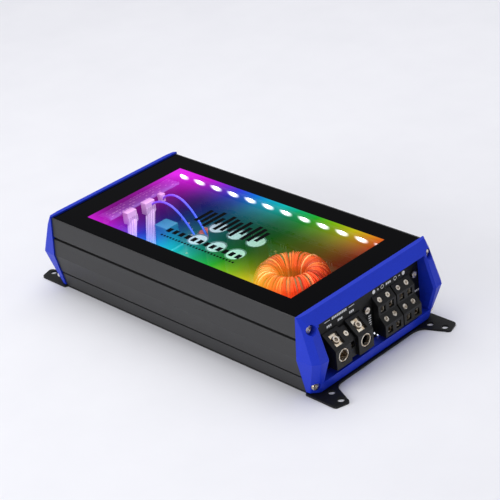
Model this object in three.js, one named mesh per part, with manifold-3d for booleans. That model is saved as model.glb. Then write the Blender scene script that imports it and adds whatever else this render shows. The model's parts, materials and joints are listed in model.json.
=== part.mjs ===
// A car amplifier: two extruded side rails on a steel base plate, a clear top panel, a faceted end
// frame at each end, the power and speaker terminals, the signal panel and the circuit inside.
// Millimetres. +X points out of the terminal end, +Z is up, and the origin is the centre of the
// base plate's underside.
import * as THREE from 'three';
import { mergeVertices } from 'three/addons/utils/BufferGeometryUtils.js';
import { ConvexGeometry } from 'three/addons/geometries/ConvexGeometry.js';
import Module from 'manifold-3d';

const wasm = await Module();
wasm.setup();

// ---- driving dimensions -------------------------------------------------------------------

// body section
const bodyLength = 240;
const baseThickness = 1.5;
const ridgeHeight = 29;
const bodyHeight = 58.2;
const ridgeHalfWidth = 64.2;
const bottomLean = 5.7;
const topLean = 2.7;
const bottomHalfWidth = ridgeHalfWidth - bottomLean;
const topHalfWidth = ridgeHalfWidth - topLean;
const fitGap = 0.3;

// side rails
const railWallInset = 3.1;
const railFootDepth = 4.4;
const railWallHalfWidth = topHalfWidth - railWallInset;
const railFootHalfWidth = railWallHalfWidth - railFootDepth;
const railLipThickness = 0.9;
const upperGrooveHeight = 41.6;
const upperGrooveWidth = 2.0;
const upperGrooveDepth = 2.2;
const lowerGrooveHeight = 12.75;
const lowerGrooveWidth = 1.3;
const lowerGrooveDepth = 1.2;
const boardLedgeHeight = 11.3;
const portBlockHeight = 11.4;
const upperPortFloor = bodyHeight - portBlockHeight;

// top panel
const topPanelThickness = 3;

// base plate feet
const footReach = 28.9;
const footOverhang = 2.4;
const footWidth = 11.8;
const footRootWidth = 26.9;
const footTipNarrow = 2.3;
const footHalfSpan = bottomHalfWidth + footOverhang;
const footInnerEdge = footHalfSpan - footWidth;
const footRootInner = footHalfSpan - footRootWidth;
const footCorner = 3;
const footEdgeSlant = 0.6;
const footBend = { span: 7, run: 5.5, drop: 4.8 };
const baseOverhang = 9.5;
const footHoleRadius = 2.45;
const footHoles = [
  { reach: 12.8, inset: 11.2 },
  { reach: 23.2, inset: 8.5 },
];

// end frames
const frameBottom = 2.0;
const frameTopProud = 1;
const frameSideProud = 1.0;
const frameSideTaper = 0.103;
const openingInset = 2;
const openingFloor = 10.4;
const openingTopBand = 6.4;
const browRise = 0.4;
const innerChamfer = 1.5;
const openingHalfWidth = railFootHalfWidth - openingInset;
const openingRoof = bodyHeight - openingTopBand;
const frameLevels = [
  { height: frameBottom, front: 8, chamfer: 4 },
  { height: ridgeHeight, front: 17, chamfer: 4 },
  { height: openingRoof + browRise, front: 9.2, chamfer: 3.8 },
  { height: bodyHeight + frameTopProud, front: 3.4, chamfer: 1.8 },
];
const frontFlatFall = 0.8;

// machine screws that hold the end frames
const screwShaftRadius = 1.5;
const screwHeadRadius = 2.75;
const screwHeadHeight = 2;
const frameScrewLength = 14;
const threadClearance = 0.15;
const screwHoleRadius = 1.8;
const driveRatio = 0.45;
const portInset = 4;
const upperPortDrop = 8;
const portSpan = topHalfWidth - portInset;
const upperPort = { height: bodyHeight - upperPortDrop, seat: 4, bore: 3.5 };
const lowerPort = { height: 8, seat: 5.2, bore: 3.1 };

// end panels
const panelThickness = 2.4;
const panelInset = 1.8;
const panelFrontGap = 0.2;

// circuit boards
const boardThickness = 1.6;
const boardMargin = 2;

// power terminals: one heavy pole each side of a small pole
const poleSlopeStart = 0.2;
const powerPole = { width: 14.4, reach: 14, floor: 14.8, top: 37.6, slopeLow: 28.6 };
const remotePole = { width: 6.5, reach: 11.4, floor: 14.8, top: 35, slopeLow: 28, entry: 23.9, screw: 5 };
const remotePoleSpan = -25.65;
const powerPolePitch = (remotePole.width + powerPole.width) / 2 + fitGap;
const groundPoleSpan = remotePoleSpan - powerPolePitch;
const supplyPoleSpan = remotePoleSpan + powerPolePitch;
const poleBack = -9;
const clampWidth = 9.6;
const clampWall = 1.5;
const clampFrontWall = 3;
const clampFloorWall = 2.2;
const clampBackGap = 1.1;
const clampWindowWidth = 7.8;
const clampWindowLength = 9;
const cableHeight = 22.9;
const cableRingRadius = 4.6;
const cableBoreRadius = 3.8;
const cableBoreDepth = 18;
const clampScrewHoleDepth = 12;
const clampScrewRadius = 2.5;
const clampScrewLength = 5.3;
const clampScrewHoleRadius = 2.75;
const clampScrewDriveRatio = 0.55;
const clampScrewDriveDepth = 2;
const padThickness = 0.9;
const padRadius = 2.2;

// speaker terminals: stepped blocks of two poles over two poles
const speakerBlockWidth = 17.7;
const speakerBlockGap = 1.1;
const speakerBlocksMiddle = 23.4;
const speakerBlockPitch = speakerBlockWidth + speakerBlockGap;
const speakerBlockSpans = [-1, 1].map((side) => speakerBlocksMiddle + side * speakerBlockPitch / 2);
const speakerPolePitch = 8.2;
const speakerFloor = 13.6;
const speakerLower = { reach: 13.1, top: 28.2, slopeLow: 22.2, entry: 17.8, screw: 5.8 };
const speakerUpper = { reach: 8, top: 40.7, slopeLow: 35.2, entry: 31.6, screw: 4.2 };
const wireEntrySize = 4.8;
const wireEntryDepth = 12;
const smallScrewHeadRadius = 1.9;
const smallScrewShaftRadius = 1.3;
const smallScrewHeadHeight = 1.6;
const smallScrewRecess = 0.4;
const smallScrewBoreRadius = 2.1;
const smallScrewDriveDepth = 0.8;

// screws that hold the terminal panel, midway in the two gaps beside the speaker blocks
const supplyPoleEdge = supplyPoleSpan + powerPole.width / 2;
const speakerReach = (speakerBlockPitch + speakerBlockWidth) / 2;
const centreScrewSpan = (supplyPoleEdge + speakerBlocksMiddle - speakerReach) / 2;
const rightScrewSpan = (speakerBlocksMiddle + speakerReach + openingHalfWidth) / 2;
const panelScrews = [
  { name: 'output_panel_screw_centre', span: centreScrewSpan, height: 34.6, length: 6 },
  { name: 'output_panel_screw_right', span: rightScrewSpan, height: 38.4, length: 6 },
];
const panelScrewHeadRadius = 2.4;
const panelScrewHeadHeight = 1.5;

// signal end: phono jacks, rotary controls and slide switches
const jackSpans = [-38, -18];
const jackHeights = [21.5, 37];
const jackBodyWidth = 13;
const jackBodyDepth = 16;
const jackTop = 44.2;
const jackBarrelRadius = 4.15;
const jackBarrelLength = 8;
const jackCollarRadius = 5.4;
const jackCollarProud = 0.8;
const jackBoreRadius = 1.6;
const knobSpans = [2, 17];
const knobHeights = [37, 21.5];
const knobRadius = 3;
const knobReach = 4;
const knobTail = 7;
const knobSlotWidth = 1;
const knobSlotDepth = 1.2;
const switchSpan = 33;
const switchTravel = 4;
const switchNub = { width: 3, height: 3, reach: 3 };
const switchTail = { width: 9, height: 5.4, depth: 2.4 };

// parts that stand on the main board
const toroid = { x: 46, y: 10, outerRadius: 27.5, holeRadius: 7.5, height: 25 };
const smallToroid = { x: -60, y: 33, outerRadius: 10, holeRadius: 3.2, height: 9 };
const ringSteps = 12;
const capacitorRadius = 8;
const capacitorHeight = 23;
const capacitorShoulder = 0.8;
const capacitorColumns = [-38, -19, 0];
const capacitorRows = [2, 23];
const transformer = { x: -78, y: 8, length: 16, width: 15, height: 21, footHeight: 3, footMargin: 1.5 };
const controlBoard = { endGap: 3, depth: 16, low: -24, high: 45, clearance: 0.3 };
const lightStrip = { endGap: 8, width: 7.8, drop: 0.5, thickness: 1.2 };
const clampBar = { length: 176, low: 21, high: 29, thickness: 1.6, standoff: 4.6 };
const clampBoss = { pitch: 60, length: 6 };

// how far a tool body runs past the face it cuts, and how far joined bodies run into each other
const past = 1;
const overlap = 0.2;

// ---- colours --------------------------------------------------------------------------------

function finish(color, roughness, metalness) {
  return new THREE.MeshStandardMaterial({ color, roughness, metalness });
}
const blackAluminium = finish(0x3a3a3a, 0.5, 0.6);
const bluePaint = finish(0x2336b4, 0.35, 0.4);
const darkAcrylic = finish(0x0c0c0e, 0.08, 0.0);
const blackSteel = finish(0x2b2b2b, 0.5, 0.5);
const blackPanel = finish(0x151515, 0.5, 0.1);
const blackPlastic = finish(0x262626, 0.45, 0.0);
const nickel = finish(0xb9b3a4, 0.28, 1.0);
const boardGreen = finish(0x1c4a34, 0.55, 0.0);
const copperWire = finish(0xc4502c, 0.4, 0.5);
const sleeve = finish(0xcfd3d0, 0.4, 0.1);
const coreTeal = finish(0x1d8a8c, 0.5, 0.0);
const boardWhite = finish(0xd8d8d8, 0.5, 0.0);
const knobGrey = finish(0x4a4a4a, 0.5, 0.0);

// ---- solids ---------------------------------------------------------------------------------

// A closed geometry as a solid: its shared corners are merged and flat triangles dropped.
function solid(geometry) {
  const bare = new THREE.BufferGeometry();
  bare.setAttribute('position', geometry.getAttribute('position'));
  if (geometry.index) bare.setIndex(geometry.index);
  const merged = mergeVertices(bare, 1e-4);
  const corners = merged.index.array;
  const kept = [];
  for (let i = 0; i < corners.length; i += 3) {
    const [a, b, c] = [corners[i], corners[i + 1], corners[i + 2]];
    if (a !== b && b !== c && c !== a) kept.push(a, b, c);
  }
  const vertProperties = new Float32Array(merged.getAttribute('position').array);
  return new wasm.Manifold(new wasm.Mesh({ numProp: 3, vertProperties, triVerts: new Uint32Array(kept) }));
}

function geometryOf(body) {
  const { vertProperties, triVerts } = body.getMesh();
  const geometry = new THREE.BufferGeometry();
  geometry.setAttribute('position', new THREE.BufferAttribute(vertProperties, 3));
  geometry.setIndex(new THREE.BufferAttribute(triVerts, 1));
  return geometry;
}

const amplifier = new THREE.Group();
const terminalEnd = new THREE.Group();
const signalEnd = new THREE.Group();
signalEnd.rotation.z = Math.PI;
amplifier.add(terminalEnd, signalEnd);

function addPart(parent, name, body, material) {
  const geometry = geometryOf(body);
  geometry.computeVertexNormals();
  const mesh = new THREE.Mesh(geometry, material);
  mesh.name = name;
  parent.add(mesh);
}

// The three ways to extrude an outline: along X (outline in Y, Z), along Y (X, Z) and along Z (X, Y).
const outlineYZ = new THREE.Matrix4().set(0, 0, 1, 0, 1, 0, 0, 0, 0, 1, 0, 0, 0, 0, 0, 1);
const outlineXZ = new THREE.Matrix4().set(1, 0, 0, 0, 0, 0, -1, 0, 0, 1, 0, 0, 0, 0, 0, 1);

function extruded(shape, depth, curveSegments = 6) {
  return new THREE.ExtrudeGeometry(shape, { depth, bevelEnabled: false, curveSegments });
}

function alongX(shape, from, to) {
  const geometry = extruded(shape, to - from, 8);
  geometry.applyMatrix4(outlineYZ);
  geometry.translate(from, 0, 0);
  return solid(geometry);
}

function alongY(shape, from, to) {
  const geometry = extruded(shape, to - from);
  geometry.applyMatrix4(outlineXZ);
  geometry.translate(0, to, 0);
  return solid(geometry);
}

function alongZ(shape, from, to) {
  const geometry = extruded(shape, to - from);
  geometry.translate(0, 0, from);
  return solid(geometry);
}

function polygon(points) {
  return new THREE.Shape(points.map(([a, b]) => new THREE.Vector2(a, b)));
}

function block(xLow, xHigh, yLow, yHigh, zLow, zHigh) {
  const geometry = new THREE.BoxGeometry(xHigh - xLow, yHigh - yLow, zHigh - zLow);
  geometry.translate((xLow + xHigh) / 2, (yLow + yHigh) / 2, (zLow + zHigh) / 2);
  return solid(geometry);
}

// A round bar between two distances along a direction, measured from a point.
function rod(radius, point, direction, from, to, sides = 16) {
  const geometry = new THREE.CylinderGeometry(radius, radius, to - from, sides);
  const way = new THREE.Vector3(...direction).normalize();
  geometry.translate(0, (from + to) / 2, 0);
  geometry.applyQuaternion(new THREE.Quaternion().setFromUnitVectors(new THREE.Vector3(0, 1, 0), way));
  geometry.translate(...point);
  return solid(geometry);
}

function turned(profile, sides, x, y) {
  const points = profile.map(([r, z]) => new THREE.Vector2(r, z));
  const geometry = new THREE.LatheGeometry(points, sides);
  geometry.rotateX(Math.PI / 2);
  geometry.translate(x, y, 0);
  return solid(geometry);
}

const outward = [1, 0, 0];
const halfLength = bodyLength / 2;

// Half width of the body's outer face at a height.
function sideAt(height) {
  if (height < ridgeHeight) {
    const rise = (height - baseThickness) / (ridgeHeight - baseThickness);
    return THREE.MathUtils.lerp(bottomHalfWidth, ridgeHalfWidth, rise);
  }
  const rise = (height - ridgeHeight) / (bodyHeight - ridgeHeight);
  return THREE.MathUtils.lerp(ridgeHalfWidth, topHalfWidth, rise);
}

// ---- side rails -----------------------------------------------------------------------------

const panelSeat = bodyHeight - topPanelThickness - fitGap;
const lipInner = topHalfWidth - railLipThickness;

function grooveCorners(low, width, depth) {
  const high = low + width;
  return [
    [sideAt(low), low],
    [sideAt(low) - depth, low],
    [sideAt(high) - depth, high],
    [sideAt(high), high],
  ];
}

const railOutline = [
  [railFootHalfWidth, baseThickness],
  [bottomHalfWidth, baseThickness],
  ...grooveCorners(lowerGrooveHeight, lowerGrooveWidth, lowerGrooveDepth),
  [ridgeHalfWidth, ridgeHeight],
  ...grooveCorners(upperGrooveHeight, upperGrooveWidth, upperGrooveDepth),
  [topHalfWidth, bodyHeight],
  [lipInner, bodyHeight],
  [lipInner, panelSeat],
  [railFootHalfWidth, panelSeat],
  [railFootHalfWidth, upperPortFloor],
  [railWallHalfWidth, upperPortFloor],
  [railWallHalfWidth, boardLedgeHeight],
  [railFootHalfWidth, boardLedgeHeight],
];

for (const [name, side] of [['side_rail_left', -1], ['side_rail_right', 1]]) {
  const shape = polygon(railOutline.map(([y, z]) => [side * y, z]));
  for (const port of [upperPort, lowerPort]) {
    const hole = new THREE.Path();
    hole.absarc(side * portSpan, port.height, screwShaftRadius + threadClearance, 0, 2 * Math.PI);
    shape.holes.push(hole);
  }
  addPart(amplifier, name, alongX(shape, -halfLength, halfLength), blackAluminium);
}

// ---- top panel and base plate -----------------------------------------------------------------

const topPanelHalf = lipInner - fitGap;
const topPanelReach = halfLength - fitGap;
addPart(amplifier, 'top_panel', block(-topPanelReach, topPanelReach, -topPanelHalf, topPanelHalf,
  bodyHeight - topPanelThickness, bodyHeight), darkAcrylic);

// One quarter of the plate's edge, from the foot's inner root round to the body's side.
function footEdge(shape, sx, sy, outwards) {
  const tip = halfLength + footReach;
  const root = halfLength + baseOverhang;
  const outer = tip - footTipNarrow;
  const steps = [
    ['line', root, footRootInner],
    ['curve', root, footInnerEdge - footBend.span, root + footBend.run, footInnerEdge - footBend.drop],
    ['line', tip - footCorner, footInnerEdge],
    ['curve', tip, footInnerEdge + footEdgeSlant, tip, footInnerEdge + footCorner],
    ['line', outer, footHalfSpan - footCorner / 2],
    ['curve', outer - footEdgeSlant, footHalfSpan, outer - footCorner, footHalfSpan],
    ['line', halfLength + footEdgeSlant, footHalfSpan],
    ['line', halfLength - footEdgeSlant, bottomHalfWidth],
  ];
  if (outwards) {
    for (const step of steps) {
      if (step[0] === 'line') shape.lineTo(sx * step[1], sy * step[2]);
      else shape.quadraticCurveTo(sx * step[1], sy * step[2], sx * step[3], sy * step[4]);
    }
    return;
  }
  for (let i = steps.length - 1; i >= 0; i -= 1) {
    const step = steps[i];
    const end = step.slice(-2);
    shape.lineTo(sx * end[0], sy * end[1]);
    if (step[0] === 'curve') {
      const start = steps[i - 1].slice(-2);
      shape.quadraticCurveTo(sx * step[1], sy * step[2], sx * start[0], sy * start[1]);
    }
  }
}

const plateShape = new THREE.Shape();
plateShape.moveTo(halfLength + baseOverhang, 0);
footEdge(plateShape, 1, 1, true);
footEdge(plateShape, -1, 1, false);
footEdge(plateShape, -1, -1, true);
footEdge(plateShape, 1, -1, false);
for (const sx of [-1, 1]) {
  for (const sy of [-1, 1]) {
    for (const { reach, inset } of footHoles) {
      const hole = new THREE.Path();
      hole.absarc(sx * (halfLength + reach), sy * (footHalfSpan - inset), footHoleRadius, 0, 2 * Math.PI);
      plateShape.holes.push(hole);
    }
  }
}
addPart(amplifier, 'base_plate', alongZ(plateShape, 0, baseThickness), blackSteel);

// ---- end frames -------------------------------------------------------------------------------

// The frame's section at a level, as points in X and Y.
function frameSection({ height, front, chamfer }) {
  const side = sideAt(Math.min(height, bodyHeight)) + frameSideProud;
  const reach = front - frontFlatFall - chamfer;
  const shoulder = side - frameSideTaper * reach;
  const inner = openingHalfWidth + innerChamfer;
  const half = [[0, side], [reach, shoulder], [reach + chamfer, shoulder - chamfer], [front, inner]];
  const points = [];
  for (const [x, y] of half) {
    points.push(new THREE.Vector3(halfLength + x, y, height));
    points.push(new THREE.Vector3(halfLength + x, -y, height));
  }
  return points;
}

function frontAt(height) {
  const upper = frameLevels.findIndex((level) => level.height >= height);
  const [a, b] = [frameLevels[Math.max(upper - 1, 0)], frameLevels[Math.max(upper, 1)]];
  const rise = (height - a.height) / (b.height - a.height);
  return halfLength + THREE.MathUtils.lerp(a.front, b.front, rise);
}

const panelBack = halfLength + fitGap;
const panelFront = panelBack + panelThickness;

// Outline of the end panels, set in from the body's own outline.
function panelOutline(grow) {
  const low = baseThickness + panelInset - grow;
  const high = bodyHeight - panelInset + grow;
  const inset = panelInset - grow;
  const right = [
    [sideAt(low) - inset, low],
    [ridgeHalfWidth - inset, ridgeHeight],
    [sideAt(high) - inset, high],
  ];
  const left = right.map(([y, z]) => [-y, z]).reverse();
  return polygon([...right, ...left]);
}

function frameBody() {
  let frame = null;
  for (let i = 1; i < frameLevels.length; i += 1) {
    const corners = [...frameSection(frameLevels[i - 1]), ...frameSection(frameLevels[i])];
    const slab = solid(new ConvexGeometry(corners));
    frame = frame ? frame.add(slab) : slab;
  }
  const beyond = halfLength + 2 * frameLevels[1].front;
  const window = polygon([
    [-openingHalfWidth, openingFloor],
    [openingHalfWidth, openingFloor],
    [openingHalfWidth, openingRoof],
    [-openingHalfWidth, openingRoof],
  ]);
  frame = frame.subtract(alongX(window, halfLength - past, beyond));
  frame = frame.subtract(alongX(panelOutline(fitGap), halfLength - past, panelFront + panelFrontGap));
  const chamferHeights = [openingFloor, ridgeHeight, openingRoof - innerChamfer];
  for (const side of [-1, 1]) {
    for (let i = 1; i < chamferHeights.length; i += 1) {
      const points = [];
      for (const height of [chamferHeights[i - 1], chamferHeights[i]]) {
        const face = frontAt(height);
        const inner = openingHalfWidth;
        const outer = inner + innerChamfer + past;
        points.push(new THREE.Vector3(face - innerChamfer, side * (inner - past), height));
        points.push(new THREE.Vector3(face - innerChamfer, side * inner, height));
        points.push(new THREE.Vector3(face + past, side * outer, height));
        points.push(new THREE.Vector3(face + past, side * (inner - past), height));
      }
      frame = frame.subtract(solid(new ConvexGeometry(points)));
    }
    for (const port of [upperPort, lowerPort]) {
      const centre = [halfLength, side * portSpan, port.height];
      frame = frame.subtract(rod(screwHoleRadius, centre, outward, -past, port.seat + past));
      frame = frame.subtract(rod(port.bore, centre, outward, port.seat, beyond - halfLength, 20));
    }
  }
  return frame;
}

// A pan-head screw: the head's underside is at zero along the direction, the shaft goes back.
function panScrew(point, direction, shaftRadius, shaftLength, headRadius, headHeight) {
  const shaft = rod(shaftRadius, point, direction, -shaftLength, overlap, 12);
  const head = rod(headRadius, point, direction, 0, headHeight, 16);
  const recess = rod(headRadius * driveRatio, point, direction, headHeight / 2, headHeight + past, 6);
  return head.add(shaft).subtract(recess);
}

for (const [group, prefix] of [[terminalEnd, 'output'], [signalEnd, 'input']]) {
  addPart(group, `${prefix}_end_frame`, frameBody(), bluePaint);
  for (const [level, port] of [['upper', upperPort], ['lower', lowerPort]]) {
    for (const side of [-1, 1]) {
      const hand = (group === terminalEnd ? side : -side) < 0 ? 'left' : 'right';
      const seat = [halfLength + port.seat + fitGap, side * portSpan, port.height];
      const screw = panScrew(seat, outward, screwShaftRadius, frameScrewLength, screwHeadRadius,
        screwHeadHeight);
      addPart(group, `${prefix}_frame_screw_${level}_${hand}`, screw, nickel);
    }
  }
}

// ---- terminals --------------------------------------------------------------------------------

const boardTop = boardLedgeHeight + fitGap + boardThickness;
const slopeStart = panelFront + poleSlopeStart;

// The middle of a pole's sloped screw face and the outward direction of that face.
function slopeOf(pole, start) {
  const end = halfLength + pole.reach;
  const run = end - start;
  const fall = pole.top - pole.slopeLow;
  const size = Math.hypot(run, fall);
  return {
    centre: [(start + end) / 2, (pole.top + pole.slopeLow) / 2],
    normal: [fall / size, 0, run / size],
  };
}

function poleProfile(pole) {
  const end = halfLength + pole.reach;
  return polygon([
    [halfLength + poleBack, pole.floor],
    [end, pole.floor],
    [end, pole.slopeLow],
    [slopeStart, pole.top],
    [halfLength + poleBack, pole.top],
  ]);
}

// A square wire entry that runs in from a pole's face.
function wireEntry(span, pole) {
  const end = halfLength + pole.reach;
  const half = wireEntrySize / 2;
  return block(end - wireEntryDepth, end + past, span - half, span + half, pole.entry - half,
    pole.entry + half);
}

function smallScrewBore(span, pole, start) {
  const { centre, normal } = slopeOf(pole, start);
  const depth = (centre[1] - pole.entry) / normal[2];
  return rod(smallScrewBoreRadius, [centre[0], span, centre[1]], normal, -depth, 2 * past);
}

function smallScrew(span, pole, start) {
  const { centre, normal } = slopeOf(pole, start);
  const point = [centre[0], span, centre[1]];
  const headTop = -smallScrewRecess;
  const headBottom = headTop - smallScrewHeadHeight;
  const tip = headTop - pole.screw;
  const head = rod(smallScrewHeadRadius, point, normal, headBottom, headTop, 12);
  const shaft = rod(smallScrewShaftRadius, point, normal, tip, headBottom + overlap, 10);
  const recess = rod(smallScrewHeadRadius * driveRatio, point, normal, headTop - smallScrewDriveDepth,
    headTop + past, 4);
  return head.add(shaft).subtract(recess);
}

// Heavy poles: a plated clamp block in a moulded housing, a set screw and its pressure pad.
for (const [label, span] of [['ground', groundPoleSpan], ['supply', supplyPoleSpan]]) {
  const { centre, normal } = slopeOf(powerPole, slopeStart);
  const slopeRise = normal[0] / normal[2];
  const steep = 1 / normal[2];
  const topUnder = (depth, x) => centre[1] - depth * steep - (x - centre[0]) * slopeRise;
  const face = halfLength + powerPole.reach;
  const back = halfLength + poleBack;
  const pocketFront = face - clampFrontWall;
  const pocketFloor = powerPole.floor + clampFloorWall;
  const clampInside = (gap) => {
    const front = pocketFront - gap;
    const depth = clampWall + gap;
    const roof = powerPole.top - clampWall - gap * 2;
    const rear = gap > 0 ? back + clampBackGap : back - past;
    const bend = centre[0] + (centre[1] - depth * steep - roof) / slopeRise;
    return polygon([
      [rear, pocketFloor + gap],
      [front, pocketFloor + gap],
      [front, topUnder(depth, front)],
      [bend, roof],
      [rear, roof],
    ]);
  };
  const ring = [face, span, cableHeight];
  const slopePoint = [centre[0], span, centre[1]];
  const half = clampWidth / 2;

  const windowCut = new THREE.BoxGeometry(clampWindowLength, clampWindowWidth, 4 * clampWall);
  windowCut.rotateY(Math.atan2(normal[0], normal[2]));
  windowCut.translate(...slopePoint);

  const housing = alongY(poleProfile(powerPole), span - powerPole.width / 2, span + powerPole.width / 2)
    .subtract(alongY(clampInside(0), span - half - fitGap, span + half + fitGap))
    .subtract(rod(cableRingRadius + fitGap, ring, outward, -clampFrontWall - past, past, 20))
    .subtract(solid(windowCut));
  addPart(terminalEnd, `${label}_terminal_housing`, housing, blackPlastic);

  const clamp = alongY(clampInside(fitGap), span - half, span + half)
    .add(rod(cableRingRadius, ring, outward, -clampFrontWall - past, -fitGap, 20))
    .subtract(rod(cableBoreRadius, ring, outward, -cableBoreDepth, past, 20))
    .subtract(rod(clampScrewHoleRadius, slopePoint, normal, -clampScrewHoleDepth, 2 * clampWall));
  addPart(terminalEnd, `${label}_clamp_block`, clamp, nickel);

  const screwTop = -smallScrewRecess;
  const screwEnd = screwTop - clampScrewLength;
  const screw = rod(clampScrewRadius, slopePoint, normal, screwEnd, screwTop)
    .subtract(rod(clampScrewRadius * clampScrewDriveRatio, slopePoint, normal,
      screwTop - clampScrewDriveDepth, screwTop + past, 6));
  addPart(terminalEnd, `${label}_clamp_screw`, screw, nickel);

  const pad = rod(padRadius, slopePoint, normal, screwEnd - fitGap - padThickness, screwEnd - fitGap);
  addPart(terminalEnd, `${label}_pressure_pad`, pad, nickel);
}

const remoteHousing = alongY(poleProfile(remotePole), remotePoleSpan - remotePole.width / 2,
  remotePoleSpan + remotePole.width / 2)
  .subtract(wireEntry(remotePoleSpan, remotePole))
  .subtract(smallScrewBore(remotePoleSpan, remotePole, slopeStart));
addPart(terminalEnd, 'remote_terminal_housing', remoteHousing, blackPlastic);
addPart(terminalEnd, 'remote_terminal_screw', smallScrew(remotePoleSpan, remotePole, slopeStart), nickel);

// Speaker blocks: the upper poles stand back over the lower ones.
const upperFace = halfLength + speakerUpper.reach;
const speakerProfile = polygon([
  [halfLength + poleBack, speakerFloor],
  [halfLength + speakerLower.reach, speakerFloor],
  [halfLength + speakerLower.reach, speakerLower.slopeLow],
  [upperFace, speakerLower.top],
  [upperFace, speakerUpper.slopeLow],
  [slopeStart, speakerUpper.top],
  [halfLength + poleBack, speakerUpper.top],
]);
const speakerNames = ['left', 'right'];
speakerBlockSpans.forEach((middle, column) => {
  const half = speakerBlockWidth / 2;
  let housing = alongY(speakerProfile, middle - half, middle + half);
  [-1, 1].forEach((side, pole) => {
    const span = middle + side * speakerPolePitch / 2;
    const tiers = [['lower', speakerLower, upperFace], ['upper', speakerUpper, slopeStart]];
    for (const [tier, size, start] of tiers) {
      housing = housing
        .subtract(wireEntry(span, size))
        .subtract(smallScrewBore(span, size, start));
      const name = `speaker_screw_${tier}_${column * 2 + pole + 1}`;
      addPart(terminalEnd, name, smallScrew(span, size, start), nickel);
    }
  });
  addPart(terminalEnd, `speaker_terminal_housing_${speakerNames[column]}`, housing, blackPlastic);
});

// ---- end panels -------------------------------------------------------------------------------

function panelBlank() {
  let panel = alongX(panelOutline(0), panelBack, panelFront);
  for (const side of [-1, 1]) {
    for (const port of [upperPort, lowerPort]) {
      const centre = [halfLength, side * portSpan, port.height];
      panel = panel.subtract(rod(screwHoleRadius, centre, outward, -past, 2 * panelThickness));
    }
  }
  return panel;
}

function poleCut(span, width, floor, top) {
  const half = width / 2 + fitGap;
  return block(halfLength - past, panelFront + past, span - half, span + half, floor - fitGap, top + fitGap);
}

let outputPanel = panelBlank()
  .subtract(poleCut(groundPoleSpan, powerPole.width, powerPole.floor, powerPole.top))
  .subtract(poleCut(remotePoleSpan, remotePole.width, remotePole.floor, remotePole.top))
  .subtract(poleCut(supplyPoleSpan, powerPole.width, powerPole.floor, powerPole.top));
for (const span of speakerBlockSpans) {
  outputPanel = outputPanel.subtract(poleCut(span, speakerBlockWidth, speakerFloor, speakerUpper.top));
}
for (const { name, span, height, length } of panelScrews) {
  const seat = [panelFront, span, height];
  const hole = rod(screwShaftRadius + fitGap, seat, outward, -2 * panelThickness, past);
  outputPanel = outputPanel.subtract(hole);
  const lifted = [panelFront + fitGap, span, height];
  addPart(terminalEnd, name, panScrew(lifted, outward, screwShaftRadius, length, panelScrewHeadRadius,
    panelScrewHeadHeight), nickel);
}
addPart(terminalEnd, 'output_panel', outputPanel, blackPanel);

let inputPanel = panelBlank();
jackSpans.forEach((span, i) => {
  const bodyFront = panelBack - fitGap;
  const half = jackBodyWidth / 2;
  let jack = block(bodyFront - jackBodyDepth, bodyFront, span - half, span + half, boardTop + fitGap,
    jackTop);
  for (const height of jackHeights) {
    const seat = [bodyFront, span, height];
    const reach = panelFront - bodyFront + jackBarrelLength;
    jack = jack
      .add(rod(jackCollarRadius, seat, outward, -past, panelFront - bodyFront + jackCollarProud, 20))
      .add(rod(jackBarrelRadius, seat, outward, -past, reach, 20))
      .subtract(rod(jackBoreRadius, seat, outward, 0, reach + past, 12));
    const collarHole = rod(jackCollarRadius + fitGap, seat, outward, -past, 2 * panelThickness, 20);
    inputPanel = inputPanel.subtract(collarHole);
  }
  addPart(signalEnd, `phono_jack_pair_${i + 1}`, jack, blackPlastic);
});
const knobNames = [
  ['front_gain_control', 'rear_gain_control'],
  ['front_crossover_control', 'rear_crossover_control'],
];
knobHeights.forEach((height, row) => {
  knobSpans.forEach((span, column) => {
    const seat = [panelFront, span, height];
    const slot = block(panelFront + knobReach - knobSlotDepth, panelFront + knobReach + past,
      span - knobSlotWidth / 2, span + knobSlotWidth / 2, height - knobRadius - past,
      height + knobRadius + past);
    const knob = rod(knobRadius, seat, outward, -knobTail, knobReach, 20).subtract(slot);
    addPart(signalEnd, knobNames[row][column], knob, knobGrey);
    inputPanel = inputPanel.subtract(rod(knobRadius + fitGap, seat, outward, -2 * panelThickness, past, 20));
  });
});
knobHeights.forEach((height, row) => {
  const left = switchSpan - (switchTravel + switchNub.width) / 2;
  const nub = block(panelBack - fitGap - overlap, panelFront + switchNub.reach, left, left + switchNub.width,
    height - switchNub.height / 2, height + switchNub.height / 2);
  const tailMiddle = left + switchNub.width / 2;
  const tail = block(panelBack - fitGap - switchTail.depth, panelBack - fitGap,
    tailMiddle - switchTail.width / 2, tailMiddle + switchTail.width / 2,
    height - switchTail.height / 2, height + switchTail.height / 2);
  const slotHalf = (switchTravel + switchNub.width) / 2 + fitGap;
  inputPanel = inputPanel.subtract(block(halfLength - past, panelFront + past, switchSpan - slotHalf,
    switchSpan + slotHalf, height - switchNub.height / 2 - fitGap, height + switchNub.height / 2 + fitGap));
  addPart(signalEnd, ['front_filter_switch', 'rear_filter_switch'][row], nub.add(tail), boardWhite);
});
addPart(signalEnd, 'input_panel', inputPanel, blackPanel);

// ---- circuit ----------------------------------------------------------------------------------

const boardHalfWidth = railWallHalfWidth - fitGap;
addPart(amplifier, 'main_board', block(-halfLength + boardMargin, halfLength - fitGap, -boardHalfWidth,
  boardHalfWidth, boardLedgeHeight + fitGap, boardTop), boardGreen);

const standing = boardTop + fitGap;

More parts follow.
